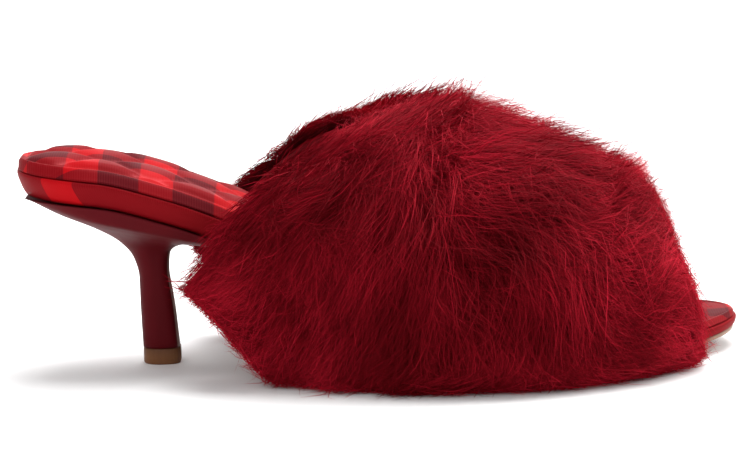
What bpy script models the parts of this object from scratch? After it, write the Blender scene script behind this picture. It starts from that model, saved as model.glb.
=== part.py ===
"""Right shoe of a pair of heeled mules with a deep shearling band.

Metres, +Z up. X runs from heel to toe and Y to the wearer's left, so the outer side of this
right shoe is at -Y. The origin is on the floor, under the centre of the heel's top piece.
"""

from collections import namedtuple

import bmesh
import bpy
import numpy as np

# Driving sizes of the shoe
SHOE_LENGTH = 0.237
SEAT_BACK = 0.0455
HEEL_HEIGHT = 0.060
SEAT_WIDTH = 0.056
BALL_WIDTH = 0.086
TOE_ROUND = 0.030
INSTEP_HEIGHT = 0.066

# Layers under the foot
SOLE_THICKNESS = 0.0016
RIM_HEIGHT = 0.0078
RIM_TUCK = 0.0028
RIM_ROUNDING = 0.0012
PAD_THICKNESS = 0.0034
PAD_CROWN = 0.0012
PAD_INSET = 0.0010
PAD_ROUNDING = 0.0016
SOLE_INSET = 0.0006
SOLE_ROUNDING = 0.0006
GAP = 0.0003
THINNEST = 0.0003

# Heel and its top piece
TOP_PIECE_LENGTH = 0.0124
TOP_PIECE_WIDTH = 0.0115
TOP_PIECE_HEIGHT = 0.0052
TOP_PIECE_BEVEL = 0.0005
LIP_REACH = 0.034
LIP_THICKNESS = 0.0008

# Shearling band: the hide and the wool on it
HIDE_THICKNESS = 0.0024
FOOT_BULGE = 0.0020
WOOL_DEPTH = 0.034
REAR_FRINGE = 0.014
FRONT_FRINGE = 0.029
FLOOR_CLEARANCE = 0.0012
LOCK_LENGTH = 0.034
LOCK_WIDTH = 0.022
LOCK_RISE = 0.005
LOCK_SLIDE = 0.004

Station = namedtuple("Station", "along outer inner tread rim pad crown")
# along: share of SHOE_LENGTH. outer, inner: shares of half the local width. tread: the sole's
# underside, share of HEEL_HEIGHT. rim: share of RIM_HEIGHT. pad: share of PAD_THICKNESS.
# crown: share of INSTEP_HEIGHT.
STATIONS = (
    Station(0.000, 0.97, 0.97, 0.953, 1.00, 1.00, 0.30),
    Station(0.115, 1.00, 1.00, 0.915, 1.00, 1.00, 0.34),
    Station(0.200, 0.99, 0.98, 0.825, 1.00, 1.00, 0.42),
    Station(0.290, 0.97, 0.95, 0.690, 0.98, 1.00, 0.52),
    Station(0.380, 0.95, 0.88, 0.500, 0.92, 1.00, 0.64),
    Station(0.470, 0.95, 0.86, 0.260, 0.84, 0.90, 0.67),
    Station(0.560, 0.97, 0.91, 0.060, 0.74, 0.80, 0.70),
    Station(0.620, 0.99, 0.97, 0.000, 0.66, 0.75, 0.71),
    Station(0.690, 1.00, 1.00, 0.000, 0.58, 0.70, 0.63),
    Station(0.780, 0.94, 0.97, 0.012, 0.50, 0.60, 0.42),
    Station(0.870, 0.79, 0.86, 0.036, 0.42, 0.46, 0.30),
    Station(0.940, 0.66, 0.72, 0.062, 0.38, 0.36, 0.24),
    Station(1.000, 0.60, 0.66, 0.088, 0.36, 0.32, 0.22),
)
# Where the nominal width starts to grow and where it has grown, and where the rim's tuck starts to
# fade and how much of it is left in front: shares of SHOE_LENGTH and of RIM_TUCK.
WIDENING = (0.36, 0.66)
TUCK_FADING = (0.35, 0.85)
TUCK_LEFT = 0.25
# Exponent of the last's section over the foot (below 1 it's fuller than an ellipse), and the share
# of the way round it that is the curve, before the straight wall.
SECTION_POWER = 0.86
WALL_SHARE = 0.80

BandEdge = namedtuple("BandEdge", "top side bow")
# Where the hide's edge crosses the instep and where it meets the sole, shares of SHOE_LENGTH,
# and how late it bends down to the side.
REAR_EDGE = BandEdge(0.545, 0.296, 1.25)
FRONT_EDGE = BandEdge(0.785, 0.818, 1.5)

HeelRing = namedtuple("HeelRing", "back back_z front front_z half_width seat_shape")
# back: share of SEAT_BACK behind the origin. front: share of LIP_REACH ahead of it. back_z and
# front_z: shares of HEEL_HEIGHT. half_width: share of half SEAT_WIDTH. seat_shape: how far the
# ring has the seat's outline rather than the post's. The first ring lies on the footbed.
HEEL_RINGS = (
    HeelRing(0.915, 0.985, 1.000, 0.680, 0.950, 1.00),
    HeelRing(0.860, 0.955, 0.970, 0.660, 0.890, 1.00),
    HeelRing(0.720, 0.888, 0.770, 0.666, 0.770, 0.85),
    HeelRing(0.500, 0.803, 0.530, 0.674, 0.580, 0.55),
    HeelRing(0.330, 0.724, 0.310, 0.676, 0.400, 0.25),
    HeelRing(0.240, 0.664, 0.180, 0.656, 0.300, 0.05),
    HeelRing(0.182, 0.604, 0.122, 0.615, 0.240, 0.00),
    HeelRing(0.146, 0.517, 0.102, 0.530, 0.200, 0.00),
)
Post = namedtuple("Post", "height back front half_width")
# The straight post below those rings. height: share of the way from the top piece to HEEL_HEIGHT.
# back and front: shares of half TOP_PIECE_LENGTH. half_width: share of half TOP_PIECE_WIDTH.
POST_RINGS = (
    Post(0.393, 1.04, 0.62, 0.94),
    Post(0.235, 1.04, 0.80, 0.96),
    Post(0.000, 1.00, 0.95, 1.00),
)
# The front half of the post's section: its exponent, and its flat breast as a share of its width.
POST_BLUNTNESS = 0.55
BREAST_SHARE = 0.55

FurRow = namedtuple("FurRow", "along depth")
# along: 0 at the rear edge of the wool, 1 at its front edge. depth: share of WOOL_DEPTH.
WOOL_ALONG = (
    FurRow(0.00, 0.34),
    FurRow(0.07, 0.70),
    FurRow(0.24, 0.78),
    FurRow(0.45, 0.84),
    FurRow(0.62, 0.84),
    FurRow(0.80, 0.82),
    FurRow(0.93, 0.54),
    FurRow(1.00, 0.08),
)
# How much of the depth is gone at the hem, at the rear and at the front on top of that.
HEM_SLIM = 0.12
FRONT_HEM_SLIM = 0.42
Hem = namedtuple("Hem", "along height")
# How high the wool hangs above the floor. along: share of SHOE_LENGTH. height: share of HEEL_HEIGHT.
WOOL_HEM = (
    Hem(0.20, 0.60),
    Hem(0.26, 0.44),
    Hem(0.32, 0.14),
    Hem(0.36, 0.00),
    Hem(0.70, 0.00),
    Hem(0.84, 0.03),
    Hem(1.00, 0.08),
)
# The whorl that the locks fan out from, as shares along and round the band. A lock rises to a tip
# that lies late in it, its sides are rounded, and it has from LOCK_LEAST of its full height up.
WHORL = (0.18, 0.28)
LOCK_LATENESS = 1.6
LOCK_ROUNDNESS = 1.2
LOCK_LEAST = 0.55
LOCK_SPREAD = 0.90
# Cells of the meshes.
RING_STATIONS = 34
LAYER_STEPS = 5
HEEL_STEPS = 11
BAND_CELLS = (20, 26)
WOOL_CELLS = (50, 46)
SHARP_ANGLE = 40


def ease(share):
    """0 below 0, 1 above 1 and a smooth step between them."""
    share = np.clip(share, 0.0, 1.0)
    return share * share * (3 - 2 * share)


def through(rows, column):
    """A smooth curve through one column of a table, flat where two rows hold the same value."""
    at = np.array([row.along for row in rows])
    value = np.array([getattr(row, column) for row in rows])
    step = np.diff(at)
    slope = np.diff(value) / step
    product = slope[:-1] * slope[1:]
    total = np.where(product > 0, slope[:-1] + slope[1:], 1.0)
    tangent = np.concatenate([slope[:1], np.where(product > 0, 2 * product / total, 0.0), slope[-1:]])

    def curve(along):
        along = np.clip(along, at[0], at[-1])
        i = np.clip(np.searchsorted(at, along, side="right") - 1, 0, len(step) - 1)
        t = (along - at[i]) / step[i]
        rise = value[i + 1] - value[i]
        return (
            value[i]
            + rise * t * t * (3 - 2 * t)
            + step[i] * t * (1 - t) * ((1 - t) * tangent[i] - t * tangent[i + 1])
        )

    return curve


OUTER = through(STATIONS, "outer")
INNER = through(STATIONS, "inner")
TREAD = through(STATIONS, "tread")
RIM = through(STATIONS, "rim")
PAD = through(STATIONS, "pad")
CROWN = through(STATIONS, "crown")
DEPTH = through(WOOL_ALONG, "depth")
HEM = through(WOOL_HEM, "height")


def x_of(along):
    return along * SHOE_LENGTH - SEAT_BACK


def along_of(x):
    return (x + SEAT_BACK) / SHOE_LENGTH


def local_half(along):
    """Half the sole's nominal width, which grows from the seat's to the ball's."""
    start, end = WIDENING
    share = ease((along - start) / (end - start))
    return (SEAT_WIDTH + (BALL_WIDTH - SEAT_WIDTH) * share) / 2


def round_seat(along):
    """1 at the seat's back, falling to 0 where the seat reaches its full width."""
    return np.clip(1 - along * SHOE_LENGTH / (SEAT_WIDTH / 2), 0, 1)


def round_toe(along):
    """1 at the toe's tip, falling to 0 where the toe's rounding starts."""
    return np.clip(1 - (1 - along) * SHOE_LENGTH / TOE_ROUND, 0, 1)


def rounded_ends(along):
    """1 along the shoe, and an elliptical fall to 0 at the seat's back and the toe's tip."""
    return np.sqrt((1 - round_seat(along) ** 2) * (1 - round_toe(along) ** 2))


def half_width(along, side):
    """The footbed's top outline: the distance from the centre line to its outer or inner edge."""
    share = OUTER(along) if side < 0 else INNER(along)
    return local_half(along) * share * rounded_ends(along)


def edge(along, side, inset):
    """x and y of the footbed's outline, moved inwards by inset all the way round."""
    x = x_of(along) + inset * (round_seat(along) - round_toe(along))
    y = side * max(half_width(along, side) - inset * rounded_ends(along), THINNEST)
    return x, y


def tread(along):
    return HEEL_HEIGHT * TREAD(along)


def footbed_under(along):
    return tread(along) + SOLE_THICKNESS + GAP


def footbed_top(along):
    return footbed_under(along) + RIM_HEIGHT * RIM(along)


def make_material(name, colour, roughness):
    material = bpy.data.materials.new(name)
    material.use_nodes = True
    shader = material.node_tree.nodes["Principled BSDF"]
    shader.inputs["Base Color"].default_value = (*colour, 1.0)
    shader.inputs["Roughness"].default_value = roughness
    return material


def make_object(name, points, faces, material):
    """A named object with a closed mesh whose faces point out, shaded smooth but for sharp edges."""
    mesh = bpy.data.meshes.new(name)
    mesh.from_pydata([tuple(point) for point in points], [], faces)
    body = bmesh.new()
    body.from_mesh(mesh)
    bmesh.ops.remove_doubles(body, verts=body.verts, dist=1e-6)
    bmesh.ops.recalc_face_normals(body, faces=body.faces)
    body.to_mesh(mesh)
    body.free()
    mesh.shade_smooth()
    mesh.set_sharp_from_angle(angle=np.radians(SHARP_ANGLE))
    mesh.materials.append(material)
    made = bpy.data.objects.new(name, mesh)
    bpy.context.scene.collection.objects.link(made)
    return made


def skin(name, rings, material):
    """A solid over rings of points that run up one side and down the other; rungs close its ends."""
    count, points = rings.shape[:2]
    faces = []
    for i in range(count - 1):
        for j in range(points):
            k = (j + 1) % points
            faces.append((i * points + j, i * points + k, (i + 1) * points + k, (i + 1) * points + j))
    for first in (0, (count - 1) * points):
        for j in range(points // 2 - 1):
            faces.append((first + j, first + j + 1, first + points - 2 - j, first + points - 1 - j))
    return make_object(name, rings.reshape(-1, 3), faces, material)


def border_of(index):
    """The indices round a grid's border, in one direction from its first corner."""
    return np.concatenate([index[0, :-1], index[:-1, -1], index[-1, :0:-1], index[:0:-1, 0]])


def slab(name, inside, outside, material, finer=1):
    """A bent sheet with a wall: two grids of points joined round their borders, where the outer
    one has finer times as many cells each way."""
    near = np.arange(inside.shape[0] * inside.shape[1]).reshape(inside.shape[:2])
    far = near.size + np.arange(outside.shape[0] * outside.shape[1]).reshape(outside.shape[:2])
    faces = []
    for grid in (near, far):
        quads = np.stack([grid[:-1, :-1], grid[:-1, 1:], grid[1:, 1:], grid[1:, :-1]], axis=-1)
        faces.extend(quads.reshape(-1, 4).tolist())
    near_edge = border_of(near)
    far_edge = np.append(border_of(far), far[0, 0])
    for i, first in enumerate(near_edge):
        second = near_edge[(i + 1) % len(near_edge)]
        run = far_edge[i * finer : (i + 1) * finer + 1]
        faces.append([int(first), int(second), *run[::-1].tolist()])
    points = np.concatenate([inside.reshape(-1, 3), outside.reshape(-1, 3)])
    return make_object(name, points, faces, material)


def ends_dense(count, start=0.0, end=1.0):
    """Shares from start to end that crowd together where an outline is rounded."""
    turn = np.linspace(0.02, np.pi - 0.02, count)
    share = (1 - np.cos(turn)) / 2
    return start + (share - share[0]) / (share[-1] - share[0]) * (end - start)


def layer(along, bottom, top, bottom_inset, top_inset, soft, crown=0.0):
    """Rings of a layer of the sole: flat below, crowned on top, with its edges eased by soft. Each
    ring starts in the middle of the underside, so that the rungs at its ends run straight across."""
    rings = []
    for s in along:
        low, high = bottom(s), top(s)
        ease_by = min(soft, (high - low) * 0.45)
        sides = []
        for side in (-1, 1):
            sides.append((
                (*edge(s, side, bottom_inset(s) + ease_by / 2), low),
                (*edge(s, side, bottom_inset(s)), low + ease_by / 2),
                (*edge(s, side, top_inset(s)), high - ease_by),
                (*edge(s, side, top_inset(s) + ease_by), high),
            ))
        outer, inner = np.array(sides)
        share = np.linspace(0, 1, LAYER_STEPS + 2)[1:-1, None]
        over = outer[3] + (inner[3] - outer[3]) * share
        over[:, 2] += crown * rounded_ends(s) * np.sin(np.pi * share[:, 0])
        under = inner[0] + (outer[0] - inner[0]) * share
        rings.append(np.concatenate([outer, over, inner[::-1], under]))
    return np.roll(np.array(rings), LAYER_STEPS // 2, axis=1)


def rim_tuck(along):
    """How far the rim's foot lies inside its top edge: most at the heel, nearly none at the toe."""
    start, end = TUCK_FADING
    return RIM_TUCK * (1 - (1 - TUCK_LEFT) * ease((along - start) / (end - start)))


def foot_grid(along, around, foot_of_wall):
    """Points of the last over the footbed. around runs from -1 at the outer edge over the crown
    at 0 to 1 at the inner edge; past WALL_SHARE it runs straight down the rim to foot_of_wall."""
    base = footbed_top(along)
    height = INSTEP_HEIGHT * CROWN(along)
    turn = np.clip(np.abs(around) / WALL_SHARE, 0, 1) * np.pi / 2
    half = np.where(around < 0, half_width(along, -1), half_width(along, 1)) + GAP
    bulge = FOOT_BULGE * np.sin(2 * turn)
    y = np.sign(around) * (half * np.sin(turn) ** SECTION_POWER + bulge)
    z = base + height * np.cos(turn) ** SECTION_POWER
    down = np.clip((np.abs(around) - WALL_SHARE) / (1 - WALL_SHARE), 0, 1)
    z = z + (foot_of_wall - base) * down
    return np.stack([x_of(along), y, z], axis=-1)


def outward(grid):
    """Unit normals of a grid, pointing away from the foot."""
    normal = np.cross(np.gradient(grid, axis=0), np.gradient(grid, axis=1))
    length = np.linalg.norm(normal, axis=-1, keepdims=True)
    return normal / np.maximum(length, 1e-9)


def band_grid(cells, rear_over=0.0, front_over=0.0, foot_of_wall=footbed_under):
    """The band's inner face as a grid, with its rear and front edges moved out by the two lengths."""
    lengthwise = np.linspace(0, 1, cells[0] + 1)[:, None]
    around = np.linspace(-1, 1, cells[1] + 1)[None, :]
    down = np.abs(around)
    rear = REAR_EDGE.top + (REAR_EDGE.side - REAR_EDGE.top) * down**REAR_EDGE.bow
    front = FRONT_EDGE.top + (FRONT_EDGE.side - FRONT_EDGE.top) * down**FRONT_EDGE.bow
    rear = rear - rear_over / SHOE_LENGTH
    front = front + front_over / SHOE_LENGTH
    along = rear + (front - rear) * lengthwise
    return foot_grid(along, around + 0 * along, foot_of_wall(along))


def wool_hem(along):
    return np.maximum(HEEL_HEIGHT * HEM(along), FLOOR_CLEARANCE)


def flush(along):
    return 0.0


def pad_inset(along):
    return PAD_INSET


def pad_under(along):
    return footbed_top(along) + GAP


def pad_top(along):
    return pad_under(along) + PAD_THICKNESS * PAD(along)


def sole_top(along):
    return footbed_under(along) - GAP


def sole_inset(along):
    return rim_tuck(along) + SOLE_INSET


def make_footbed(material):
    along = ends_dense(RING_STATIONS)
    rings = layer(along, footbed_under, footbed_top, rim_tuck, flush, RIM_ROUNDING)
    return skin("footbed", rings, material)


def make_pad(material):
    along = ends_dense(RING_STATIONS)
    rings = layer(along, pad_under, pad_top, pad_inset, pad_inset, PAD_ROUNDING, PAD_CROWN)
    return skin("insole_pad", rings, material)


def make_outsole(material):
    along = ends_dense(RING_STATIONS, along_of(LIP_REACH + GAP), 1.0)
    rings = layer(along, tread, sole_top, sole_inset, sole_inset, SOLE_ROUNDING)
    return skin("outsole", rings, material)


def heel_side(seat_shape):
    """One side of a ring of the heel: shares along it from its back to its front, and half widths
    as shares of its greatest, which go from the post's section to the seat's with seat_shape."""
    turn = np.linspace(0.06, np.pi, HEEL_STEPS)
    ahead = turn > np.pi / 2
    power = np.where(ahead, POST_BLUNTNESS, 1.0)
    share = (1 - np.sign(np.cos(turn)) * np.abs(np.cos(turn)) ** power) / 2
    post = np.maximum(np.maximum(np.sin(turn), 0.0) ** power, BREAST_SHARE * ahead)
    back = -SEAT_BACK * HEEL_RINGS[0].back
    seat = half_width(along_of(back + (LIP_REACH - back) * share), -1) / (SEAT_WIDTH / 2)
    return share, post + (seat - post) * seat_shape


def both_sides(rings):
    """Closed rings from half ones, each given as x, half width and z from its back to its front."""
    inner = np.swapaxes(np.array(rings), 1, 2)
    outer = inner * np.array([1.0, -1.0, 1.0])
    return np.concatenate([outer, inner[:, ::-1]], axis=1)


def make_heel(material):
    """The covered heel: a cup under the seat that sweeps into a slim post with a flat breast."""
    rings = []
    for number, ring in enumerate(HEEL_RINGS):
        share, half = heel_side(ring.seat_shape)
        back = -SEAT_BACK * ring.back
        x = back + (LIP_REACH * ring.front - back) * share
        z = HEEL_HEIGHT * (ring.back_z + (ring.front_z - ring.back_z) * share)
        roof = footbed_under(along_of(x)) - GAP
        z = roof if number == 0 else np.minimum(z, roof - LIP_THICKNESS)
        half = half * SEAT_WIDTH / 2 * ring.half_width
        rings.append([x, half, z])
    share, half = heel_side(0.0)
    base = TOP_PIECE_HEIGHT + GAP
    for post in POST_RINGS:
        back = -TOP_PIECE_LENGTH / 2 * post.back
        x = back + (TOP_PIECE_LENGTH / 2 * post.front - back) * share
        z = np.full(HEEL_STEPS, base + (HEEL_HEIGHT - base) * post.height)
        rings.append([x, half * TOP_PIECE_WIDTH / 2 * post.half_width, z])
    return skin("heel", both_sides(rings), material)


def make_top_piece(material):
    """The hard-wearing lift under the post, bevelled all round at the floor."""
    share, half = heel_side(0.0)
    bevelled = 1 - TOP_PIECE_BEVEL / TOP_PIECE_WIDTH
    rings = []
    for height, spread in ((0.0, bevelled), (TOP_PIECE_BEVEL, 1.0), (TOP_PIECE_HEIGHT, 1.0)):
        x = (share - 0.5) * TOP_PIECE_LENGTH * spread
        rings.append([x, half * TOP_PIECE_WIDTH / 2 * spread, np.full(HEEL_STEPS, height)])
    return skin("heel_top_piece", both_sides(rings), material)


def make_upper(material):
    inside = band_grid(BAND_CELLS)
    return slab("upper", inside, inside + outward(inside) * HIDE_THICKNESS, material)


def scatter(ring, lock):
    """A repeatable share from 0 to 1 for each lock: steps of the golden angle, and of the square
    root of 2 from ring to ring."""
    return np.mod(lock * 0.6180 + ring * 0.4142, 1.0)


def lock_relief(face, normal):
    """How far each point of the wool's face moves: locks that fan out from the whorl in rings,
    each rising to a tip that slides over the next."""
    whorl = tuple(round(cells * place) for cells, place in zip(WOOL_CELLS, WHORL))
    away = face - face[whorl]
    away = away - normal * np.sum(away * normal, axis=-1, keepdims=True)
    length = np.linalg.norm(away, axis=-1, keepdims=True)
    flow = away / np.maximum(length, LOCK_WIDTH)
    across = np.linalg.norm(np.diff(face, axis=1), axis=-1).cumsum(axis=1)
    across = np.pad(across, ((0, 0), (1, 0)))
    across = across - across[:, whorl[1] : whorl[1] + 1]
    ahead = face[..., 0] - face[whorl][0]
    reach = np.hypot(ahead, across)
    angle = np.arctan2(across, ahead) / (2 * np.pi)
    ring = np.floor(reach / LOCK_LENGTH)
    count = np.round(2 * np.pi * (ring + 0.5) * LOCK_LENGTH / LOCK_WIDTH)
    turn = angle * count + 0.5 * np.mod(ring, 2)
    lock = np.floor(turn)
    share = reach / LOCK_LENGTH - ring
    height = np.sin(np.pi * share**LOCK_LATENESS)
    height = height * np.sin(np.pi * (turn - lock)) ** LOCK_ROUNDNESS
    height = height * (LOCK_LEAST + LOCK_SPREAD * scatter(ring, lock))
    return height[..., None] * (normal * LOCK_RISE + flow * LOCK_SLIDE)


def make_wool(material):
    """The wool as one solid: it leaves the hide, overhangs it at the front, back and floor, and
    carries its locks on its outer face."""
    back = band_grid(WOOL_CELLS, REAR_FRINGE, FRONT_FRINGE, wool_hem)
    normal = outward(back)
    lengthwise = np.linspace(0, 1, WOOL_CELLS[0] + 1)[:, None]
    around = np.linspace(-1, 1, WOOL_CELLS[1] + 1)[None, :]
    slim = 1 - (HEM_SLIM + FRONT_HEM_SLIM * ease(lengthwise / 0.5 - 1)) * around**4
    depth = WOOL_DEPTH * DEPTH(lengthwise) * slim
    back = back + normal * (HIDE_THICKNESS + 2 * GAP)
    face = back + normal * depth[..., None]
    face = face + lock_relief(face, normal)
    face[..., 2] = np.maximum(face[..., 2], FLOOR_CLEARANCE)
    return slab("shearling", back[::2, ::2], face, material, finer=2)


def main():
    for old in list(bpy.data.objects):
        bpy.data.objects.remove(old, do_unlink=True)
    satin = make_material("check satin", (0.42, 0.01, 0.02), 0.4)
    leather = make_material("burgundy leather", (0.10, 0.008, 0.012), 0.35)
    sole_leather = make_material("sole leather", (0.45, 0.27, 0.15), 0.5)
    hard_rubber = make_material("top piece rubber", (0.20, 0.10, 0.05), 0.45)
    hide = make_material("hide", (0.25, 0.01, 0.02), 0.7)
    wool = make_material("wool", (0.30, 0.01, 0.02), 0.9)
    make_footbed(satin)
    make_pad(satin)
    make_outsole(sole_leather)
    make_heel(leather)
    make_top_piece(hard_rubber)
    make_upper(hide)
    make_wool(wool)


main()
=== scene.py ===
# %% [markdown]
# # A heeled mule with a deep shearling band
#
# The frame holds the mule's plain solids in metres: +X from heel to toe, +Z up, the floor at 0.
# Each soft or fine-grained solid is replaced here by a surface worked out with numpy from the same
# shoemaker's sizes, so it lies where the solid lies. The order below is: frame, camera and light,
# shader helpers, sole and heel, quilted insole, hide, wool.

from collections import namedtuple

import bpy
import numpy as np
from mathutils import Matrix, Vector


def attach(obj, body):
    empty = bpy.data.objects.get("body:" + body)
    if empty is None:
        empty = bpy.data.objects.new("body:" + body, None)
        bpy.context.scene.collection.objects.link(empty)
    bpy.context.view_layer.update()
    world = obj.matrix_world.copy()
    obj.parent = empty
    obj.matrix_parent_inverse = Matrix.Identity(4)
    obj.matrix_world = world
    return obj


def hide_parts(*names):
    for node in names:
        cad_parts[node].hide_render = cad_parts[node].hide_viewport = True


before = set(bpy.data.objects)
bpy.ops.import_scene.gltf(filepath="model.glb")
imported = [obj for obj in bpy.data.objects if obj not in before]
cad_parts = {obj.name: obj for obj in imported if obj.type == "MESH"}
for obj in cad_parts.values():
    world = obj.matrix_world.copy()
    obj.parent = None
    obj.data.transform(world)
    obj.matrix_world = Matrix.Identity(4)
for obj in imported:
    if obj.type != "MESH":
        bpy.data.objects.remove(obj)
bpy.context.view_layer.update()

# %% [markdown]
# ## The last in numbers
#
# A shoemaker works from a last: its length, ball width, seat width, heel height and instep. The
# table below gives the sole's outline, tread, layers and crown at stations along the shoe, each as
# a share of the size that it follows. A cubic curve runs smoothly through each column.

# %% Sizes and stations
SHOE_LENGTH = 0.237
SEAT_BACK = 0.0455
HEEL_HEIGHT = 0.060
SEAT_WIDTH = 0.056
BALL_WIDTH = 0.086
TOE_ROUND = 0.030
INSTEP_HEIGHT = 0.066
SOLE_THICKNESS = 0.0016
RIM_HEIGHT = 0.0078
RIM_TUCK = 0.0028
PAD_THICKNESS = 0.0034
PAD_CROWN = 0.0012
PAD_INSET = 0.0010
GAP = 0.0003
HIDE_THICKNESS = 0.0024
FOOT_BULGE = 0.0020
WALL_SHARE = 0.80
WIDENING = (0.36, 0.66)

Station = namedtuple("Station", "along outer inner tread rim pad crown")
STATIONS = (
    Station(0.000, 0.97, 0.97, 0.953, 1.00, 1.00, 0.30),
    Station(0.115, 1.00, 1.00, 0.915, 1.00, 1.00, 0.34),
    Station(0.200, 0.99, 0.98, 0.825, 1.00, 1.00, 0.42),
    Station(0.290, 0.97, 0.95, 0.690, 0.98, 1.00, 0.52),
    Station(0.380, 0.95, 0.88, 0.500, 0.92, 1.00, 0.64),
    Station(0.470, 0.95, 0.86, 0.260, 0.84, 0.90, 0.67),
    Station(0.560, 0.97, 0.91, 0.060, 0.74, 0.80, 0.70),
    Station(0.620, 0.99, 0.97, 0.000, 0.66, 0.75, 0.71),
    Station(0.690, 1.00, 1.00, 0.000, 0.58, 0.70, 0.63),
    Station(0.780, 0.94, 0.97, 0.012, 0.50, 0.60, 0.42),
    Station(0.870, 0.79, 0.86, 0.036, 0.42, 0.46, 0.30),
    Station(0.940, 0.66, 0.72, 0.062, 0.38, 0.36, 0.24),
    Station(1.000, 0.60, 0.66, 0.088, 0.36, 0.32, 0.22),
)


def ease(share):
    """0 below 0, 1 above 1 and 3t^2 - 2t^3 between them."""
    share = np.clip(share, 0.0, 1.0)
    return share * share * (3 - 2 * share)


def through(rows, column):
    """A cubic curve through one column of a table, flat where two rows hold the same value:
    the slope at a row is the harmonic mean of the slopes on its two sides."""
    at = np.array([row[0] for row in rows])
    value = np.array([getattr(row, column) for row in rows])
    step = np.diff(at)
    slope = np.diff(value) / step
    product = slope[:-1] * slope[1:]
    total = np.where(product > 0, slope[:-1] + slope[1:], 1.0)
    inner = np.where(product > 0, 2 * product / total, 0.0)
    tangent = np.concatenate([slope[:1], inner, slope[-1:]])

    def curve(along):
        along = np.clip(along, at[0], at[-1])
        i = np.clip(np.searchsorted(at, along, side="right") - 1, 0, len(step) - 1)
        t = (along - at[i]) / step[i]
        rise = value[i + 1] - value[i]
        bend = (1 - t) * tangent[i] - t * tangent[i + 1]
        return value[i] + rise * t * t * (3 - 2 * t) + step[i] * t * (1 - t) * bend

    return curve


OUTER, INNER, TREAD, RIM, PAD, CROWN = (through(STATIONS, name) for name in Station._fields[1:])


def x_of(along):
    """Distance ahead of the heel's post for a share of the shoe's length."""
    return along * SHOE_LENGTH - SEAT_BACK


def along_of(x):
    """The share of the shoe's length at a distance ahead of the post."""
    return (x + SEAT_BACK) / SHOE_LENGTH


def round_seat(along):
    """1 at the seat's back, falling to 0 where the seat reaches its full width."""
    return np.clip(1 - along * SHOE_LENGTH / (SEAT_WIDTH / 2), 0, 1)


def round_toe(along):
    """1 at the toe's tip, falling to 0 where the toe's rounding starts."""
    return np.clip(1 - (1 - along) * SHOE_LENGTH / TOE_ROUND, 0, 1)


def rounded_ends(along):
    """Quarter ellipses at the seat and the toe: the root of 1 - seat^2 times that of 1 - toe^2."""
    return np.sqrt((1 - round_seat(along) ** 2) * (1 - round_toe(along) ** 2))


def half_width(along, side):
    """From the centre line to the footbed's edge: the seat's half width widens to the ball's."""
    start, end = WIDENING
    widening = ease((along - start) / (end - start))
    nominal = (SEAT_WIDTH + (BALL_WIDTH - SEAT_WIDTH) * widening) / 2
    return nominal * np.where(side < 0, OUTER(along), INNER(along)) * rounded_ends(along)


def tread(along):
    return HEEL_HEIGHT * TREAD(along)


def footbed_under(along):
    return tread(along) + SOLE_THICKNESS + GAP


def footbed_top(along):
    return footbed_under(along) + RIM_HEIGHT * RIM(along)


def pad_under(along):
    return footbed_top(along) + GAP


def rim_tuck(along):
    """How far the rim's foot lies inside its top edge: most at the heel, nearly none at the toe."""
    return RIM_TUCK * (1 - 0.75 * ease((along - 0.35) / 0.5))


print("ball width, mm:", round(float(half_width(0.69, -1) + half_width(0.69, 1)) * 1000, 1))

# %% [markdown]
# ## Camera, floor and light
#
# The photo was taken from the outer side, about 9 degrees above the floor, with the camera rolled
# by 2 degrees so that the toe sits a little high. A long lens keeps the sole's lines nearly
# parallel. A white sweep and two wide soft lights give the even studio look.

# %% Camera
CAMERA_DISTANCE = 1.05
CAMERA_ELEVATION = np.radians(9.5)
CAMERA_ROLL = np.radians(-2.0)
PIXELS_PER_METRE = 3020
PHOTO_WIDTH = 752
FRAMING = (-0.0013, -0.0178)


def make_camera():
    """Looks along +Y from the elevation, then turns about its own axis by the roll."""
    looking = Vector((0, np.cos(CAMERA_ELEVATION), -np.sin(CAMERA_ELEVATION)))
    right = Vector((1, 0, 0))
    up = right.cross(looking)
    turned_right = right * np.cos(CAMERA_ROLL) + up * np.sin(CAMERA_ROLL)
    turned_up = up * np.cos(CAMERA_ROLL) - right * np.sin(CAMERA_ROLL)
    data = bpy.data.cameras.new("camera")
    data.sensor_fit = "HORIZONTAL"
    data.lens = data.sensor_width * PIXELS_PER_METRE * CAMERA_DISTANCE / PHOTO_WIDTH
    data.shift_x, data.shift_y = FRAMING
    data.clip_start = 0.01
    camera = bpy.data.objects.new("camera", data)
    target = Vector((x_of(0.5), 0, 0.045))
    place = Matrix((turned_right, turned_up, -looking)).transposed().to_4x4()
    place.translation = target - looking * CAMERA_DISTANCE
    camera.matrix_world = place
    bpy.context.scene.collection.objects.link(camera)
    bpy.context.scene.camera = camera
    return camera


camera = make_camera()
print("lens, mm:", round(camera.data.lens, 1))

# %% Grids and pieces


def grid_faces(rows, columns, wrap=False):
    """Quads of a grid of points, one line per quad; wrap joins the last column to the first."""
    index = np.arange(rows * columns).reshape(rows, columns)
    if wrap:
        index = np.concatenate([index, index[:, :1]], axis=1)
    corners = (index[:-1, :-1], index[:-1, 1:], index[1:, 1:], index[1:, :-1])
    return np.stack(corners, axis=-1).reshape(-1, 4)


def make_mesh(name, points, faces):
    """A smooth mesh from an array of points and one of faces, all with as many corners."""
    points = np.asarray(points, dtype=np.float32).reshape(-1, 3)
    faces = np.asarray(faces, dtype=np.int32)
    mesh = bpy.data.meshes.new(name)
    mesh.vertices.add(len(points))
    mesh.vertices.foreach_set("co", points.ravel())
    mesh.loops.add(faces.size)
    mesh.loops.foreach_set("vertex_index", faces.ravel())
    mesh.polygons.add(len(faces))
    mesh.polygons.foreach_set("loop_start", np.arange(0, faces.size, faces.shape[1]))
    mesh.update(calc_edges=True)
    mesh.validate()
    mesh.shade_smooth()
    return mesh


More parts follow.
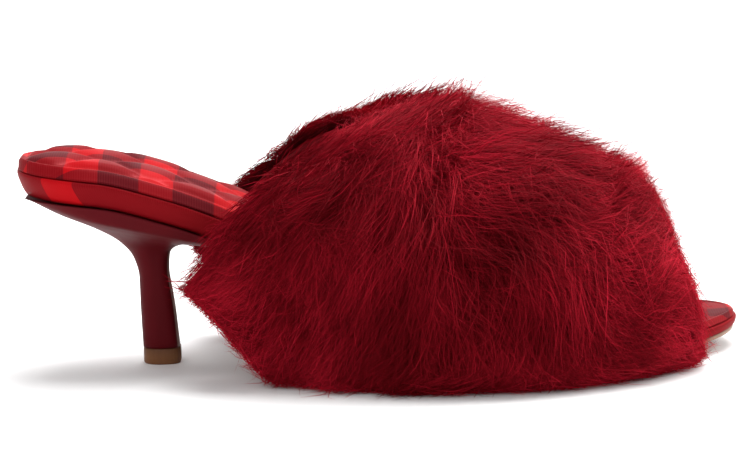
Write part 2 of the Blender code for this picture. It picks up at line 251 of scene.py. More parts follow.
def make_piece(name, mesh, material, slot, *nodes):
    """An object that rides on the shoe, takes the given material and stands for CAD nodes."""
    mesh.materials.append(material)
    piece = bpy.data.objects.new(name, mesh)
    bpy.context.scene.collection.objects.link(piece)
    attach(piece, "root")
    if nodes:
        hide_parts(*nodes)
    return piece


def add_values(mesh, name, values):
    """A named number at each point, which a material can read."""
    layer = mesh.attributes.new(name, "FLOAT", "POINT")
    layer.data.foreach_set("value", np.asarray(values, dtype=np.float32).ravel())


def add_map(mesh, name, across, along):
    """A UV map from two numbers at each point."""
    corner = np.zeros(len(mesh.loops), dtype=np.int32)
    mesh.loops.foreach_get("vertex_index", corner)
    places = np.stack([np.ravel(across)[corner], np.ravel(along)[corner]], axis=-1)
    layer = mesh.uv_layers.new(name=name)
    layer.uv.foreach_set("vector", places.astype(np.float32).ravel())


# %% Floor and light
FLOOR_SIZE = 3.0
FLOOR_COLOUR = (0.93, 0.93, 0.93, 1.0)


def make_floor():
    """A sweep: flat under the shoe, then a quarter circle up to a wall far behind it.

    Seen from behind it is clear, so that the wall doesn't hide the shoe in a view of its back.
    """
    turn = np.linspace(0, np.pi / 2, 24)
    flat_end = 0.7
    radius = 0.5
    y = np.concatenate([[-FLOOR_SIZE], flat_end + radius * np.sin(turn), [flat_end + radius]])
    z = np.concatenate([[0.0], radius * (1 - np.cos(turn)), [FLOOR_SIZE]])
    x = np.array([-FLOOR_SIZE, FLOOR_SIZE])
    points = np.stack(
        [x[None, :] + 0 * y[:, None], y[:, None] + 0 * x, z[:, None] + 0 * x], axis=-1
    )
    mesh = make_mesh("sweep", points, grid_faces(len(y), 2))
    material = bpy.data.materials.new("sweep paper")
    material.use_nodes = True
    shader = material.node_tree.nodes["Principled BSDF"]
    shader.inputs["Base Color"].default_value = FLOOR_COLOUR
    shader.inputs["Roughness"].default_value = 0.9
    nodes, links = material.node_tree.nodes, material.node_tree.links
    side = nodes.new("ShaderNodeNewGeometry")
    clear = nodes.new("ShaderNodeBsdfTransparent")
    either = nodes.new("ShaderNodeMixShader")
    links.new(side.outputs["Backfacing"], either.inputs[0])
    links.new(shader.outputs[0], either.inputs[1])
    links.new(clear.outputs[0], either.inputs[2])
    links.new(either.outputs[0], nodes["Material Output"].inputs["Surface"])
    mesh.materials.append(material)
    sweep = bpy.data.objects.new("sweep", mesh)
    bpy.context.scene.collection.objects.link(sweep)
    return sweep


def make_light(name, place, size, power):
    """A square soft light of that size and power, aimed at the shoe's middle."""
    data = bpy.data.lights.new(name, "AREA")
    data.size = size
    data.energy = power
    lamp = bpy.data.objects.new(name, data)
    lamp.location = place
    aim = Vector((x_of(0.5), 0, 0.04)) - lamp.location
    lamp.rotation_euler = aim.to_track_quat("-Z", "Y").to_euler()
    bpy.context.scene.collection.objects.link(lamp)
    return lamp


make_floor()
make_light("top light", (0.25, 0.35, 1.2), 0.9, 24)
make_light("front light", (-0.6, -1.0, 0.9), 0.9, 5)
make_light("toe light", (1.1, 0.3, 0.7), 0.6, 9)
world = bpy.data.worlds.new("studio")
world.use_nodes = True
world.node_tree.nodes["Background"].inputs["Color"].default_value = (1, 1, 1, 1)
world.node_tree.nodes["Background"].inputs["Strength"].default_value = 0.5
bpy.context.scene.world = world
bpy.context.scene.view_settings.view_transform = "Standard"

# %% [markdown]
# ## Shader helpers
#
# A material is a small sum of patterns. Writing each sum as a Python expression keeps it
# readable: `Value` wraps a socket, and adding or multiplying two of them adds a Math node.

# %% Finish and Value


class Value:
    """A number that varies over a surface: a socket with arithmetic."""

    def __init__(self, finish, socket):
        self.finish = finish
        self.socket = socket

    def math(self, operation, first, second=0.0, third=0.0):
        inputs = {0: first, 1: second, 2: third}
        return self.finish.node("ShaderNodeMath", {"operation": operation}, inputs)["Value"]

    def __add__(self, other):
        return self.math("ADD", self, other)

    __radd__ = __add__

    def __mul__(self, other):
        return self.math("MULTIPLY", self, other)

    __rmul__ = __mul__

    def __sub__(self, other):
        return self.math("SUBTRACT", self, other)

    def __rsub__(self, other):
        return self.math("SUBTRACT", other, self)

    def __truediv__(self, other):
        return self.math("DIVIDE", self, other)

    def __pow__(self, other):
        return self.math("POWER", self, other)

    def sine(self):
        return self.math("SINE", self)

    def floor(self):
        return self.math("FLOOR", self)

    def below(self, level):
        return self.math("LESS_THAN", self, level)

    def fraction(self):
        return self.math("FRACT", self)

    def between(self, low, high):
        """A smooth step from 0 at low to 1 at high."""
        sockets = {"Value": self, "From Min": low, "From Max": high}
        step = {"interpolation_type": "SMOOTHSTEP"}
        return self.finish.node("ShaderNodeMapRange", step, sockets)["Result"]


class Outputs:
    """A node's outputs by name, as Values."""

    def __init__(self, finish, node):
        self.finish = finish
        self.node = node

    def __getitem__(self, name):
        return Value(self.finish, self.node.outputs[name])


class Finish:
    """One Principled material that is put together in Python."""

    def __init__(self, name, **constants):
        self.material = bpy.data.materials.new(name)
        self.material.use_nodes = True
        self.tree = self.material.node_tree
        self.shader = self.tree.nodes["Principled BSDF"]
        for key, constant in constants.items():
            self.shader.inputs[key.replace("_", " ")].default_value = constant

    def plug(self, socket, given):
        if isinstance(given, Value):
            self.tree.links.new(given.socket, socket)
        elif given is not None:
            socket.default_value = given

    def node(self, kind, settings=None, sockets=None):
        made = self.tree.nodes.new(kind)
        for key, setting in (settings or {}).items():
            setattr(made, key, setting)
        for key, given in (sockets or {}).items():
            self.plug(made.inputs[key], given)
        return Outputs(self, made)

    def attribute(self, name):
        return self.node("ShaderNodeAttribute", {"attribute_name": name})["Fac"]

    def place(self):
        """The point in the row frame, in metres."""
        return self.node("ShaderNodeTexCoord")["Object"]

    def axes(self, vector):
        """x, y and z of a vector."""
        parts = self.node("ShaderNodeSeparateXYZ", {}, {"Vector": vector})
        return parts["X"], parts["Y"], parts["Z"]

    def vector(self, x, y, z=0.0):
        return self.node("ShaderNodeCombineXYZ", {}, {"X": x, "Y": y, "Z": z})["Vector"]

    def noise(self, vector, scale, detail=2.0, roughness=0.5):
        sockets = {"Vector": vector, "Scale": scale, "Detail": detail, "Roughness": roughness}
        return self.node("ShaderNodeTexNoise", {}, sockets)["Fac"]

    def cells(self, vector, scale):
        """Distance to the nearest of scattered points, as in leather's pebbles."""
        return self.node("ShaderNodeTexVoronoi", {}, {"Vector": vector, "Scale": scale})["Distance"]

    def mix(self, amount, first, second):
        """first where amount is 0 and second where it is 1; both are colours."""
        made = self.tree.nodes.new("ShaderNodeMix")
        made.data_type = "RGBA"
        self.plug(made.inputs["Factor"], amount)
        colours = [socket for socket in made.inputs if socket.type == "RGBA"]
        for socket, given in zip(colours, (first, second)):
            self.plug(socket, given if isinstance(given, Value) else (*given, 1.0))
        result = [socket for socket in made.outputs if socket.type == "RGBA"][0]
        return Value(self, result)

    def set(self, **sockets):
        for key, given in sockets.items():
            self.plug(self.shader.inputs[key.replace("_", " ")], given)

    def bump(self, height, distance, strength=1.0):
        """Raises the surface by height times distance, in metres."""
        sockets = {"Height": height, "Distance": distance, "Strength": strength}
        self.plug(self.shader.inputs["Normal"], self.node("ShaderNodeBump", {}, sockets)["Normal"])


# %% [markdown]
# ## Check satin
#
# The insole and its rim are covered in one satin with a woven check. A check is two sets of
# stripes, one along and one across: where two light stripes cross, the cloth is bright red, where
# two dark ones cross it is burgundy, and where they differ it is mid red. Satin shines because its
# threads float, so fine ribs across the foot and a low roughness do most of the work; a painted
# sheen on the ribs and a painted highlight along the stitched seams add the rest.

# %% Check satin
BRIGHT_RED = (0.40, 0.0022, 0.0050)
MID_RED = (0.190, 0.0020, 0.0048)
BURGUNDY = (0.082, 0.0018, 0.0045)


def check_satin(name, dark, block, rib):
    """Check of light stripes and dark ones, with ribs of that pitch. dark and block are the dark
    stripe and both stripes together, in metres across and along. It reads the cloth's own map,
    whose numbers are metres across and along it."""
    finish = Finish(name, Roughness=0.45, Specular_IOR_Level=0.03)
    cloth = finish.node("ShaderNodeUVMap", {"uv_map": "cloth"})["UV"]
    across, along, _ = finish.axes(cloth)
    wander = finish.noise(cloth, 60.0) * 0.0012
    stripe_a = ((across + wander + 1.0) / block[0]).fraction().below(dark[0] / block[0])
    stripe_b = ((along + wander + 1.0) / block[1]).fraction().below(dark[1] / block[1])
    both = stripe_a * stripe_b
    either = stripe_a + stripe_b - both
    thread = (along * (6.2832 / rib)).sine() * 0.5 + 0.5
    slub = finish.noise(finish.vector(across * 900.0, along * 90.0), 1.0, 3.0)
    colour = finish.mix(either, BRIGHT_RED, MID_RED)
    colour = finish.mix(both, colour, BURGUNDY)
    # painted sheen: the crests of the ribs are mixed a little towards a pale red
    colour = finish.mix(thread * slub * 0.10, colour, (0.60, 0.07, 0.08))
    seam = finish.attribute("seam")
    # painted highlight: along the stitched seams the colour is mixed towards a pale red
    colour = finish.mix(seam * 0.55 * slub, colour, (0.62, 0.13, 0.14))
    finish.set(Base_Color=colour, Roughness=0.40 + 0.2 * slub)
    finish.bump(thread * 0.5 + slub * 0.5, 0.00004, 0.4)
    return finish.material


PAD_SATIN = check_satin("pad satin", (0.011, 0.013), (0.023, 0.024), 0.0008)
RIM_SATIN = check_satin("rim satin", (0.0, 0.062), (0.1, 0.074), 0.0008)

# %% [markdown]
# ## Footbed rim
#
# The board is wrapped in the satin before the pad goes on. Its edge is a soft vertical band, tallest
# at the heel, whose foot is tucked in above the heel's leather. One profile runs round the outline:
# under the board, out to the foot, up the rim with a slight belly, over the shoulder and in.

# %% Profile round the sole's outline
AROUND = 520


def outline_places(count):
    """Places round the sole from the seat's back along the outer side to the toe and back along
    the inner side, closer together at the rounded ends: along is (1 - cos turn) / 2."""
    turn = np.linspace(0, 2 * np.pi, count, endpoint=False)
    along = (1 - np.cos(turn)) / 2
    side = np.where(turn < np.pi, -1.0, 1.0)
    return along, side


def outline(along, side, inset):
    """x and y of the footbed's outline, moved in by inset square to the seat's and toe's curves."""
    x = x_of(along) + inset * (round_seat(along) - round_toe(along))
    y = side * np.maximum(half_width(along, side) - inset * rounded_ends(along), 0.0)
    return x, y


def swept_rim(profile, start=0.0):
    """Points of a band round the sole. profile is rows of (inset, height) functions of along;
    along is squeezed to run from start to 1."""
    along, side = outline_places(AROUND)
    along = start + (1 - start) * along
    rows = []
    for inset, height in profile:
        x, y = outline(along, side, inset(along))
        rows.append(np.stack([x, y, height(along)], axis=-1))
    return np.array(rows)


def cloth_length(rows):
    """Metres along the rim at each point, measured round the outline."""
    step = np.linalg.norm(np.diff(rows, axis=1, append=rows[:, :1]), axis=-1)
    return np.cumsum(step, axis=1) - step


def make_footbed():
    """A closed skin: centre line underneath, foot, belly, shoulder, centre line on top."""
    steps = np.linspace(0, 1, 15)
    profile = [(lambda s: half_width(s, 1) + 0.002, footbed_under)]
    profile.append((lambda s: rim_tuck(s) + 0.0006, footbed_under))
    for t in steps:
        belly = 0.00012 * np.sin(np.pi * t)
        turn_in = 0.0003 * (1 - t) ** 8 + 0.0007 * t**8

        def inset(s, t=t, belly=belly, turn_in=turn_in):
            return rim_tuck(s) * (1 - t) + turn_in - belly * RIM(s)

        def height(s, t=t):
            return footbed_under(s) + (footbed_top(s) - footbed_under(s)) * t

        profile.append((inset, height))
    profile.append((lambda s: 0.003 + 0 * s, footbed_top))
    profile.append((lambda s: half_width(s, 1) + 0.002, footbed_top))
    rows = swept_rim(profile)
    mesh = make_mesh("footbed_rim", rows, grid_faces(len(rows), AROUND, wrap=True))
    rise = np.cumsum(np.linalg.norm(np.diff(rows, axis=0, prepend=rows[:1]), axis=-1), axis=0)
    add_map(mesh, "cloth", rise, cloth_length(rows))
    return make_piece("footbed_rim", mesh, RIM_SATIN, "rim_satin", "footbed")


footbed = make_footbed()
print("footbed rim faces:", len(footbed.data.polygons))

# %% [markdown]
# ## Quilted insole
#
# The sock is satin over thin foam, stitched down in an onion pattern: rows of wavy lines that swing
# apart and touch again, so each puff is a lens. The puffs are real relief in the mesh, with a deep
# narrow channel on each line and a plain border inside the edge.

# %% Insole pad
QUILT_LENGTH = 0.031
QUILT_WIDTH = 0.023
PUFF = 0.0017
PAD_EDGE_ROUND = 0.0075
QUILT_END = 0.80
QUILT_FADE = 0.08
SEAT_MARGIN = 0.012
PUFF_REACH = 0.0042
FIELD_FADE = 0.0035
EDGE_ROLL = 0.0012
EDGE_SEAM_DEPTH = 0.0006
EDGE_SEAM_WIDTH = 0.0007
PUCKER_DEPTH = 0.00008
PUCKER_REACH = 0.003
PAD_UNDERSIDE_SHARE = 0.985
STITCH_WIDTH = 0.0011
BORDER = 0.0052


def quilt_distance(along, across):
    """Distance in metres from the nearest wavy line: line k lies at k/2 widths plus or minus a
    quarter width times the cosine of the place along it, with the sign turning at each line."""
    wave = np.cos(2 * np.pi * along / QUILT_LENGTH) * QUILT_WIDTH / 4
    lines = np.arange(-5, 6)
    sign = np.where(lines % 2 == 0, 1.0, -1.0)
    places = lines * QUILT_WIDTH / 2 + wave[..., None] * sign
    return np.min(np.abs(across[..., None] - places), axis=-1)


def make_pad():
    """Rows run across the shoe from edge to edge over the top and back underneath."""
    rows, columns = 240, 100
    turn = np.linspace(0.0, np.pi, rows)
    along = ((1 - np.cos(turn)) / 2)[:, None]
    share = np.linspace(-1, 1, columns)[None, :]
    share = np.sin(share * np.pi / 2) * 0.4 + share * 0.6
    side = np.where(share < 0, -1.0, 1.0)
    reach = np.abs(share)
    full = half_width(along, side)
    half = np.maximum(full - PAD_INSET * rounded_ends(along), 0.0)
    inward = PAD_INSET * (round_seat(along) - round_toe(along))
    x = x_of(along) + inward + 0 * share
    y = side * half * reach
    to_edge = half * (1 - reach)
    to_end = np.minimum(x - x_of(0.0), x_of(1.0) - x)
    inside = np.minimum(to_edge, np.maximum(to_end, 0.0) * 1.4)
    soft = 1 - (1 - np.clip(inside / PAD_EDGE_ROUND, 0, 1)) ** 1.9
    thick = PAD_THICKNESS * PAD(along)
    crown = PAD_CROWN * rounded_ends(along) * np.cos(np.pi / 2 * reach) ** 0.7
    lines = quilt_distance(x, y)
    border = np.abs(inside - BORDER)
    quilted = (1 - ease((along - QUILT_END) / QUILT_FADE)) * ease(to_end / SEAT_MARGIN)
    puffed = 1 - np.exp(-((lines / PUFF_REACH) ** 1.3))
    channel = np.exp(-((lines / STITCH_WIDTH) ** 2))
    in_field = ease((inside - BORDER) / FIELD_FADE)
    edge_roll = np.sin(np.pi * np.clip(inside / BORDER, 0, 1)) ** 0.8
    relief = PUFF * in_field * (puffed - 0.25 * channel) * quilted
    relief = relief + EDGE_ROLL * edge_roll * (1 - in_field) * (0.3 + 0.7 * PAD(along))
    edge_seam = np.exp(-((border / STITCH_WIDTH) ** 2))
    relief = relief - EDGE_SEAM_DEPTH * edge_seam * quilted
    ripple = np.sin(x * 2100 + 9 * np.sin(y * 130))
    pucker = ripple * PUCKER_DEPTH * np.exp(-lines / PUCKER_REACH) * quilted
    texture = (relief + pucker) * np.minimum(soft * 1.6, 1)
    top = pad_under(along) + thick * (0.14 + 0.86 * soft) + crown + texture
    bottom = pad_under(along) + 0 * top
    upper = np.stack([x, y, top], axis=-1)
    lower = np.stack([x, y * PAD_UNDERSIDE_SHARE, bottom], axis=-1)
    points = np.concatenate([upper, lower[:, ::-1]], axis=1)
    mesh = make_mesh("quilted_insole", points, grid_faces(rows, 2 * columns, wrap=True)[:, ::-1])
    # where the stitched lines run; the satin paints a highlight there
    seam = np.maximum(channel * in_field, np.exp(-((border / EDGE_SEAM_WIDTH) ** 2))) * quilted
    add_values(mesh, "seam", np.concatenate([seam, 0 * seam], axis=1))
    add_map(mesh, "cloth", np.concatenate([y, y[:, ::-1]], axis=1), np.concatenate([x, x], axis=1))
    pad = make_piece("quilted_insole", mesh, PAD_SATIN, "pad_satin", "insole_pad")
    return pad


pad = make_pad()
print("insole faces:", len(pad.data.polygons))

# %% [markdown]
# ## Outsole
#
# Under the board runs a thin sheet of tan sole leather, buffed on the tread and dyed darker on its
# cut edge. It is one flat band round the outline from the heel's breast to the toe.

# %% Sole leather
TAN = (0.30, 0.155, 0.085)


def sole_leather():
    """Tan with long soft streaks, small scuffs on the tread and fine pores."""
    finish = Finish("sole leather", Roughness=0.45, Coat_Weight=0.15, Coat_Roughness=0.3)
    place = finish.place()
    x, y, z = finish.axes(place)
    streaks = finish.noise(finish.vector(x * 20.0, y * 160.0, z * 160.0), 1.0, 4.0)
    blotch = finish.noise(place, 35.0, 3.0)
    pores = finish.cells(place, 2400.0)
    scuff = finish.noise(finish.vector(x * 300.0, y * 40.0), 1.0, 5.0).between(0.55, 0.75)
    colour = finish.mix(streaks * 0.5 + blotch * 0.3, TAN, (0.17, 0.08, 0.045))
    colour = finish.mix(scuff * 0.25, colour, (0.42, 0.26, 0.17))
    finish.set(Base_Color=colour, Roughness=0.38 + 0.25 * scuff + 0.1 * streaks)
    finish.bump(pores * 0.4 + scuff * 0.3 + streaks * 0.3, 0.00008, 0.5)
    return finish.material


SOLE_LEATHER = sole_leather()
LIP_REACH = 0.034
SOLE_INSET = 0.0006


def make_outsole():
    """A closed band: centre line below, eased lower edge, eased upper edge, centre line above."""
    start = along_of(LIP_REACH + GAP)

    def low(s):
        return tread(s) + 0 * s

    def high(s):
        return footbed_under(s) - GAP

    def at(share):
        return lambda s: low(s) + (high(s) - low(s)) * share

    def inset(extra):
        return lambda s: rim_tuck(s) + SOLE_INSET + extra

    profile = [
        (lambda s: half_width(s, 1) + 0.002, low),
        (inset(0.0008), low),
        (inset(0.0002), at(0.12)),
        (inset(0.0), at(0.35)),
        (inset(0.0), at(0.75)),
        (inset(0.0003), at(1.0)),
        (lambda s: half_width(s, 1) + 0.002, high),
    ]
    rows = swept_rim(profile, start)
    mesh = make_mesh("outsole_leather", rows, grid_faces(len(rows), AROUND, wrap=True))
    return make_piece("outsole_leather", mesh, SOLE_LEATHER, "sole_leather", "outsole")


outsole = make_outsole()

# %% [markdown]
# ## Covered heel
#
# The heel is a hollow-looking cup under the seat that sweeps into a slim post. Smooth burgundy
# leather is stretched over it, and the sole leather comes down its flat breast. Rings from the
# seat down to the top piece are joined by smooth curves, so the sweep has no edges.

# %% Heel sizes
TOP_PIECE_LENGTH = 0.0124
TOP_PIECE_WIDTH = 0.0115
TOP_PIECE_HEIGHT = 0.0052
HeelRing = namedtuple("HeelRing", "back back_z front front_z half_width seat_shape")
HEEL_RINGS = (
    HeelRing(0.915, 0.985, 1.000, 0.680, 0.950, 1.00),
    HeelRing(0.860, 0.955, 0.970, 0.660, 0.890, 1.00),
    HeelRing(0.720, 0.888, 0.770, 0.666, 0.770, 0.85),
    HeelRing(0.500, 0.803, 0.530, 0.674, 0.580, 0.55),
    HeelRing(0.330, 0.724, 0.310, 0.676, 0.400, 0.25),
    HeelRing(0.240, 0.664, 0.180, 0.656, 0.300, 0.05),
    HeelRing(0.182, 0.604, 0.122, 0.615, 0.240, 0.00),
    HeelRing(0.146, 0.517, 0.102, 0.530, 0.200, 0.00),
)
Post = namedtuple("Post", "height back front half_width")
POST_RINGS = (
    Post(0.393, 1.04, 0.62, 0.94),
    Post(0.235, 1.04, 0.80, 0.96),
    Post(0.000, 1.00, 0.95, 1.00),
)


def heel_side(count):
    """Shares from a ring's back to its front, and half widths of the post's section: a half
    circle behind and a blunt flat-fronted curve ahead."""
    turn = np.linspace(0.0, np.pi, count)
    blunt = np.where(turn > np.pi / 2, 0.55, 1.0)
    share = (1 - np.sign(np.cos(turn)) * np.abs(np.cos(turn)) ** blunt) / 2
    post = np.maximum(np.sin(turn), 0.0) ** blunt
    front = ease((turn - np.pi / 2) / 0.25)
    return share, np.maximum(post, 0.55 * front)


def smooth_rows(rows, finer):
    """Rows of points with finer times as many steps, on Catmull-Rom curves through them."""
    ahead = np.concatenate([2 * rows[:1] - rows[1:2], rows, 2 * rows[-1:] - rows[-2:-1]])
    t = np.linspace(0, 1, finer, endpoint=False)[:, None, None, None]
    p0, p1, p2, p3 = (ahead[i : i + len(rows) - 1][None] for i in range(4))
    curve = 0.5 * (
        2 * p1
        + (p2 - p0) * t
        + (2 * p0 - 5 * p1 + 4 * p2 - p3) * t**2
        + (3 * p1 - p0 - 3 * p2 + p3) * t**3
    )
    fine = np.swapaxes(curve, 0, 1).reshape(-1, *rows.shape[1:])
    return np.concatenate([fine, rows[-1:]])


def heel_rows(count):
    """The heel's rings from the seat down, each as x, half width and z from back to front."""
    share, post = heel_side(count)
    rings = []
    for number, ring in enumerate(HEEL_RINGS):
        back = -SEAT_BACK * ring.back
        x = back + (LIP_REACH * ring.front - back) * share
        z = HEEL_HEIGHT * (ring.back_z + (ring.front_z - ring.back_z) * share)
        roof = footbed_under(along_of(x)) - GAP
        z = roof if number == 0 else np.minimum(z, roof - 0.0008)
        first_back = -SEAT_BACK * HEEL_RINGS[0].back
        seat_x = first_back + (LIP_REACH - first_back) * share
        seat = half_width(along_of(seat_x), -1) / (SEAT_WIDTH / 2)
        half = (post + (seat - post) * ring.seat_shape) * SEAT_WIDTH / 2 * ring.half_width
        rings.append(np.stack([x, half, z], axis=-1))
    base = TOP_PIECE_HEIGHT + GAP
    for ring in POST_RINGS:
        back = -TOP_PIECE_LENGTH / 2 * ring.back
        x = back + (TOP_PIECE_LENGTH / 2 * ring.front - back) * share
        z = np.full(count, base + (HEEL_HEIGHT - base) * ring.height)
        rings.append(np.stack([x, post * TOP_PIECE_WIDTH / 2 * ring.half_width, z], axis=-1))
    return np.array(rings)


# %% Heel leather
HEEL_RED = (0.075, 0.0022, 0.0045)


def heel_leather():
    """Burgundy leather; the breast attribute shows the sole leather instead."""
    finish = Finish("heel leather", Roughness=0.42)
    finish.set(Specular_IOR_Level=0.06)
    place = finish.place()
    breast = finish.attribute("breast")
    x, y, z = finish.axes(place)
    mottle = finish.noise(place, 70.0, 4.0, 0.6)
    grain = finish.cells(place, 1500.0)
    creases = finish.noise(finish.vector(x * 260.0, y * 260.0, z * 70.0), 1.0, 3.0)
    colour = finish.mix(mottle * 0.7, HEEL_RED, (0.115, 0.0050, 0.0090))
    colour = finish.mix(breast, colour, (0.26, 0.165, 0.145))
    finish.set(Base_Color=colour, Roughness=0.48 + 0.16 * mottle + 0.1 * breast)
    finish.bump(grain * 0.5 + creases * 0.3, 0.00007, 0.5)
    return finish.material


HEEL_COLUMNS = 41


def make_heel():
    """Mirrored rings, closed by a flat cap at the top and at the bottom."""
    count = HEEL_COLUMNS
    near = smooth_rows(heel_rows(count), 7)
    flip = np.array([1.0, -1.0, 1.0])
    rings = np.concatenate([near * flip, near[:, -2:0:-1]], axis=1)
    middles = rings.mean(axis=1, keepdims=True) + 0 * rings
    rings = np.concatenate([middles[:1], rings, middles[-1:]])
    faces = grid_faces(len(rings), rings.shape[1], wrap=True)[:, ::-1]
    mesh = make_mesh("heel_cover", rings, faces)
    column = np.concatenate([np.arange(count), np.arange(count - 2, 0, -1)])
    front = ease((column - count * 0.80) / 2.0)[None, :]
    down = ease((0.047 - rings[..., 2]) / 0.004)
    add_values(mesh, "breast", front * down)
    return make_piece("heel_cover", mesh, heel_leather(), "heel_leather", "heel")


heel = make_heel()
print("heel faces:", len(heel.data.polygons))

# %% [markdown]
# ## Top piece
#
# The last few millimetres are a hard brown lift, trimmed flush with the post. Its upper and lower
# edges are rounded by wear, and its side shows faint vertical trimming marks.

# %% Top piece
TOP_PIECE_ROWS = (
    (0.0, 0.60),
    (0.0, 0.955),
    (0.00025, 0.985),
    (0.0007, 1.0),
    (0.0028, 1.0),
    (TOP_PIECE_HEIGHT - 0.0003, 0.995),
    (TOP_PIECE_HEIGHT, 0.975),
    (TOP_PIECE_HEIGHT, 0.0),
)


def top_piece_rubber():
    finish = Finish("top piece rubber", Roughness=0.42, Specular_IOR_Level=0.12)
    place = finish.place()
    x, y, z = finish.axes(place)
    trim = finish.noise(finish.vector(x * 900.0, y * 900.0, z * 60.0), 1.0, 2.0)
    speck = finish.noise(place, 1500.0, 2.0).between(0.55, 0.7)
    colour = finish.mix(trim * 0.6, (0.20, 0.085, 0.036), (0.12, 0.048, 0.022))
    colour = finish.mix(z.between(0.002, 0.005) * 0.5, colour, (0.090, 0.036, 0.020))
    colour = finish.mix(speck * 0.3, colour, (0.17, 0.08, 0.05))
    finish.set(Base_Color=colour, Roughness=0.36 + 0.2 * trim)
    finish.bump(trim, 0.00005, 0.5)
    return finish.material


def make_top_piece():
    """The post's section carried straight down, with both edges rounded."""
    share, post = heel_side(HEEL_COLUMNS)
    rings = [np.zeros((HEEL_COLUMNS, 3))]
    for height, spread in TOP_PIECE_ROWS:
        x = (share - 0.5) * TOP_PIECE_LENGTH * spread
        y = post * TOP_PIECE_WIDTH / 2 * spread
        rings.append(np.stack([x, y, np.full(HEEL_COLUMNS, height)], axis=-1))
    near = np.array(rings)
    rings = np.concatenate([near * np.array([1.0, -1.0, 1.0]), near[:, -2:0:-1]], axis=1)
    mesh = make_mesh("top_piece", rings, grid_faces(len(rings), rings.shape[1], wrap=True))
    return make_piece("top_piece", mesh, top_piece_rubber(), "top_piece_rubber", "heel_top_piece")


top_piece = make_top_piece()

# %% [markdown]
# ## Hide
#
# The band is one sheepskin: bare suede inside, wool outside. The hide follows the last over the
# instep and goes straight down past the board's edge. Its faces are the last's sections, moved out
# by the hide's thickness along their normals.

# %% Band grid
BandEdge = namedtuple("BandEdge", "top side bow")
REAR_EDGE = BandEdge(0.545, 0.296, 1.25)
FRONT_EDGE = BandEdge(0.785, 0.818, 1.5)
REAR_FRINGE = 0.014
FRONT_FRINGE = 0.029
WOOL_DEPTH = 0.034
FLOOR_CLEARANCE = 0.0012
HEM_SLIM = 0.12
FRONT_HEM_SLIM = 0.42
FurRow = namedtuple("FurRow", "along depth")
WOOL_ALONG = (
    FurRow(0.00, 0.34),
    FurRow(0.07, 0.70),
    FurRow(0.24, 0.78),
    FurRow(0.45, 0.84),
    FurRow(0.62, 0.84),
    FurRow(0.80, 0.82),
    FurRow(0.93, 0.54),
    FurRow(1.00, 0.08),
)
Hem = namedtuple("Hem", "along height")
WOOL_HEM = (
    Hem(0.20, 0.60),
    Hem(0.26, 0.44),
    Hem(0.32, 0.14),
    Hem(0.36, 0.00),
    Hem(0.70, 0.00),
    Hem(0.84, 0.03),
    Hem(1.00, 0.08),
)
DEPTH = through(WOOL_ALONG, "depth")
HEM = through(WOOL_HEM, "height")


def foot_point(along, around, foot_of_wall):
    """A point of the last over the footbed. around is -1 at the outer edge, 0 on the crown and 1
    at the inner edge: a superellipse up to WALL_SHARE, then straight down to foot_of_wall."""
    base = footbed_top(along)
    height = INSTEP_HEIGHT * CROWN(along)
    turn = np.clip(np.abs(around) / WALL_SHARE, 0, 1) * np.pi / 2
    half = half_width(along, around) + GAP
    y = np.sign(around) * (half * np.sin(turn) ** 0.86 + FOOT_BULGE * np.sin(2 * turn))
    z = base + height * np.maximum(np.cos(turn), 0.0) ** 0.86
    down = np.maximum((np.abs(around) - WALL_SHARE) / (1 - WALL_SHARE), 0)
    return np.stack([x_of(along), y, z + (foot_of_wall - base) * down], axis=-1)


def band_along(lengthwise, around, rear_over=0.0, front_over=0.0):
    """The share of the shoe's length at a share of the band's own, between its bowed edges."""
    down = np.minimum(np.abs(around), 1.0)
    rear = REAR_EDGE.top + (REAR_EDGE.side - REAR_EDGE.top) * down**REAR_EDGE.bow
    front = FRONT_EDGE.top + (FRONT_EDGE.side - FRONT_EDGE.top) * down**FRONT_EDGE.bow
    rear = rear - rear_over / SHOE_LENGTH
    front = front + front_over / SHOE_LENGTH
    return rear + (front - rear) * lengthwise


def outward(grid):
    """Unit normals of a grid, away from the foot: the cross product of its two directions."""
    normal = np.cross(np.gradient(grid, axis=0), np.gradient(grid, axis=1))
    return normal / np.maximum(np.linalg.norm(normal, axis=-1, keepdims=True), 1e-9)


def suede():
    finish = Finish("suede", Roughness=0.85, Sheen_Weight=0.4, Sheen_Roughness=0.4)
    place = finish.place()
    nap = finish.noise(place, 900.0, 4.0, 0.7)
    cloud = finish.noise(place, 60.0, 3.0)
    colour = finish.mix(cloud, (0.10, 0.008, 0.016), (0.17, 0.016, 0.028))
    colour = finish.mix(nap * 0.4, colour, (0.24, 0.04, 0.055))
    finish.set(Base_Color=colour, Roughness=0.75 + 0.2 * nap)
    finish.bump(nap, 0.0002, 0.6)
    return finish.material


def make_hide():
    """Two faces of the band, a hide's thickness apart, closed round their border."""
    rows, columns = 60, 90
    lengthwise = np.linspace(0, 1, rows)[:, None]
    around = np.linspace(-1, 1, columns)[None, :] + 0 * lengthwise
    along = band_along(lengthwise, around)
    inside = foot_point(along, around, footbed_under(along))
    outside = inside + outward(inside) * HIDE_THICKNESS
    middle = (inside + outside) / 2
    inner = np.concatenate([middle[:, :1], inside, middle[:, -1:]], axis=1)
    outer = np.concatenate([middle[:, :1], outside, middle[:, -1:]], axis=1)
    ring = np.concatenate([outer, inner[:, -2:0:-1]], axis=1)
    first, last = ring[:1].copy(), ring[-1:].copy()
    seam = (outer[0] + inner[0]) / 2
    first[0] = np.concatenate([seam, seam[-2:0:-1]])
    seam = (outer[-1] + inner[-1]) / 2
    last[0] = np.concatenate([seam, seam[-2:0:-1]])
    points = np.concatenate([first, ring, last])
    mesh = make_mesh("hide", points, grid_faces(len(points), points.shape[1], wrap=True))
    return make_piece("hide", mesh, suede(), "hide", "upper")


hide = make_hide()

